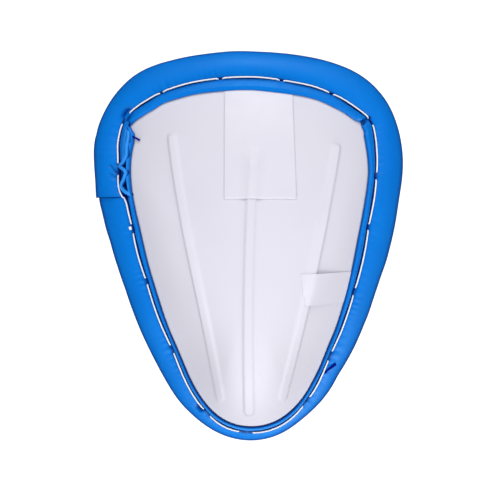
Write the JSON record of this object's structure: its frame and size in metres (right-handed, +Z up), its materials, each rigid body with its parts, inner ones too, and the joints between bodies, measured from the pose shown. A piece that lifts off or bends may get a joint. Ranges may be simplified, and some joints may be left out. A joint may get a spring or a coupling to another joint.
{
  "type": "abdominal guard",
  "caption": "Pear-shaped abdominal guard for sport: a ribbed moulded cup, hollow on the body side, with a padded sewn vinyl binding round its edge.",
  "frame": {"origin": "on the surface the guard lies on, under the middle of its outline", "axes": "+Y towards the wide waist end, +Z up out of the cup's front, +X to the right seen from the front"},
  "size_m": [0.1307, 0.1659, 0.0482],
  "materials": {
    "cup_plastic": "satin moulded",
    "blue_vinyl": "smooth imitation leather over foam",
    "label_film": "satin film",
    "tag_film": "satin film"
  },
  "bodies": {
    "root": {"cup": "cup_plastic", "padded_binding": "blue_vinyl", "front_label": "label_film", "side_tag": "tag_film"}
  },
  "joints": []
}
